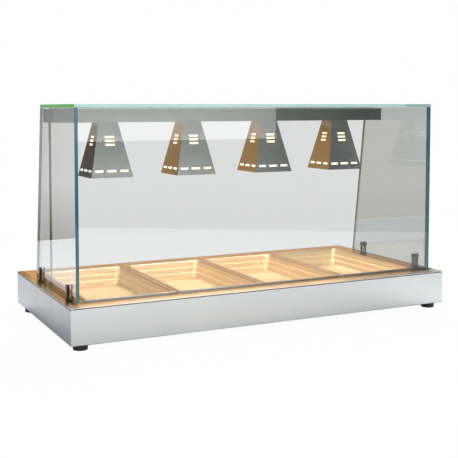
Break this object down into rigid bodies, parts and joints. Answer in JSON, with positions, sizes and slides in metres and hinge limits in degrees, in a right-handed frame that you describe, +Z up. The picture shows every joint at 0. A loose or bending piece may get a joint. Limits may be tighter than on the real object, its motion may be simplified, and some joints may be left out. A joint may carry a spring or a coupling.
{
  "type": "hot food display case",
  "caption": "Countertop heated display: stainless well with lift-out food pans under a glass canopy, heat lamps on a beam, and operator controls behind.",
  "frame": {"origin": "centre of the footprint of the bounding box, on the surface the feet stand on", "axes": "+X to the right as the customer sees it, +Y from the customer to the operator, +Z up"},
  "size_m": [1.45, 0.708, 0.766],
  "materials": {
    "base_stainless": "brushed, satin",
    "deck_stainless": "brushed, brighter than the panels",
    "well_stainless": "dull mill finish",
    "pan_stainless": "bright annealed",
    "lamp_stainless": "satin",
    "dark_chrome": "dark, polished",
    "screw_steel": "dark, polished",
    "element_sheath": "matt, heat darkened",
    "pane_glass": "clear float glass with green edges",
    "bulb_glass": "frosted face, silvered back",
    "ceramic": "matt white",
    "rubber": "matt black",
    "seal_rubber": "matt black",
    "bond_strip": "pale grey",
    "black_plastic": "matt black",
    "rocker_plastic": "glossy red",
    "amber_lens": "clear amber",
    "dial_aluminium": "satin"
  },
  "bodies": {
    "case": {"deck_plate": "deck_stainless", "deck_seal": "seal_rubber", "front_panel": "base_stainless", "rear_panel": "base_stainless", "left_panel": "base_stainless", "right_panel": "base_stainless", "base_floor": "base_stainless", "well_liner": "well_stainless", "beam_bond_strip": "bond_strip", "lamp_beam": "lamp_stainless", "beam_cap_left": "lamp_stainless", "beam_cap_right": "lamp_stainless", "wiring_post": "lamp_stainless", "front_glass": "pane_glass", "top_glass": "pane_glass", "left_glass": "pane_glass", "right_glass": "pane_glass", "heating_element_left": "element_sheath", "heating_element_right": "element_sheath", "thermostat_body": "black_plastic", "dial_plate": "dial_aluminium", "heat_switch_housing": "black_plastic", "lamp_switch_housing": "black_plastic", "pilot_lamp": "amber_lens", "cable_gland": "black_plastic", "terminal_block": "black_plastic", "lamp_shade_1": "lamp_stainless", "lamp_holder_1": "ceramic", "heat_lamp_1": "bulb_glass", "lamp_shade_2": "lamp_stainless", "lamp_holder_2": "ceramic", "heat_lamp_2": "bulb_glass", "lamp_shade_3": "lamp_stainless", "lamp_holder_3": "ceramic", "heat_lamp_3": "bulb_glass", "lamp_shade_4": "lamp_stainless", "lamp_holder_4": "ceramic", "heat_lamp_4": "bulb_glass", "pan_rail_1": "well_stainless", "pan_rail_2": "well_stainless", "pan_rail_3": "well_stainless", "glass_clamp_front_left": "dark_chrome", "clamp_screw_front_left": "screw_steel", "foot_front_left": "rubber", "glass_clamp_front_right": "dark_chrome", "clamp_screw_front_right": "screw_steel", "foot_front_right": "rubber", "glass_clamp_rear_left": "dark_chrome", "clamp_screw_rear_left": "screw_steel", "foot_rear_left": "rubber", "glass_clamp_rear_right": "dark_chrome", "clamp_screw_rear_right": "screw_steel", "foot_rear_right": "rubber"},
    "pan_1": {"pan_1": "pan_stainless"},
    "pan_2": {"pan_2": "pan_stainless"},
    "pan_3": {"pan_3": "pan_stainless"},
    "pan_4": {"pan_4": "pan_stainless"},
    "thermostat_knob": {"thermostat_knob": "black_plastic"},
    "heat_rocker": {"heat_switch_rocker": "rocker_plastic"},
    "lamp_rocker": {"lamp_switch_rocker": "rocker_plastic"}
  },
  "joints": [
    {"name": "pan_1_lift", "type": "slide", "parent": "case", "child": "pan_1", "axis": [0, 0, 1], "range_m": [0, 0.1]},
    {"name": "pan_2_lift", "type": "slide", "parent": "case", "child": "pan_2", "axis": [0, 0, 1], "range_m": [0, 0.1]},
    {"name": "pan_3_lift", "type": "slide", "parent": "case", "child": "pan_3", "axis": [0, 0, 1], "range_m": [0, 0.1]},
    {"name": "pan_4_lift", "type": "slide", "parent": "case", "child": "pan_4", "axis": [0, 0, 1], "range_m": [0, 0.1]},
    {"name": "thermostat_turn", "type": "hinge", "parent": "case", "child": "thermostat_knob", "pos_m": [0.45, 0.334, 0.075], "axis": [0, -1, 0], "range_deg": [0, 270]},
    {"name": "heat_switch_rock", "type": "hinge", "parent": "case", "child": "heat_rocker", "pos_m": [0.543, 0.331, 0.075], "axis": [1, 0, 0], "range_deg": [0, 16]},
    {"name": "lamp_switch_rock", "type": "hinge", "parent": "case", "child": "lamp_rocker", "pos_m": [0.591, 0.331, 0.075], "axis": [1, 0, 0], "range_deg": [0, 16]}
  ]
}
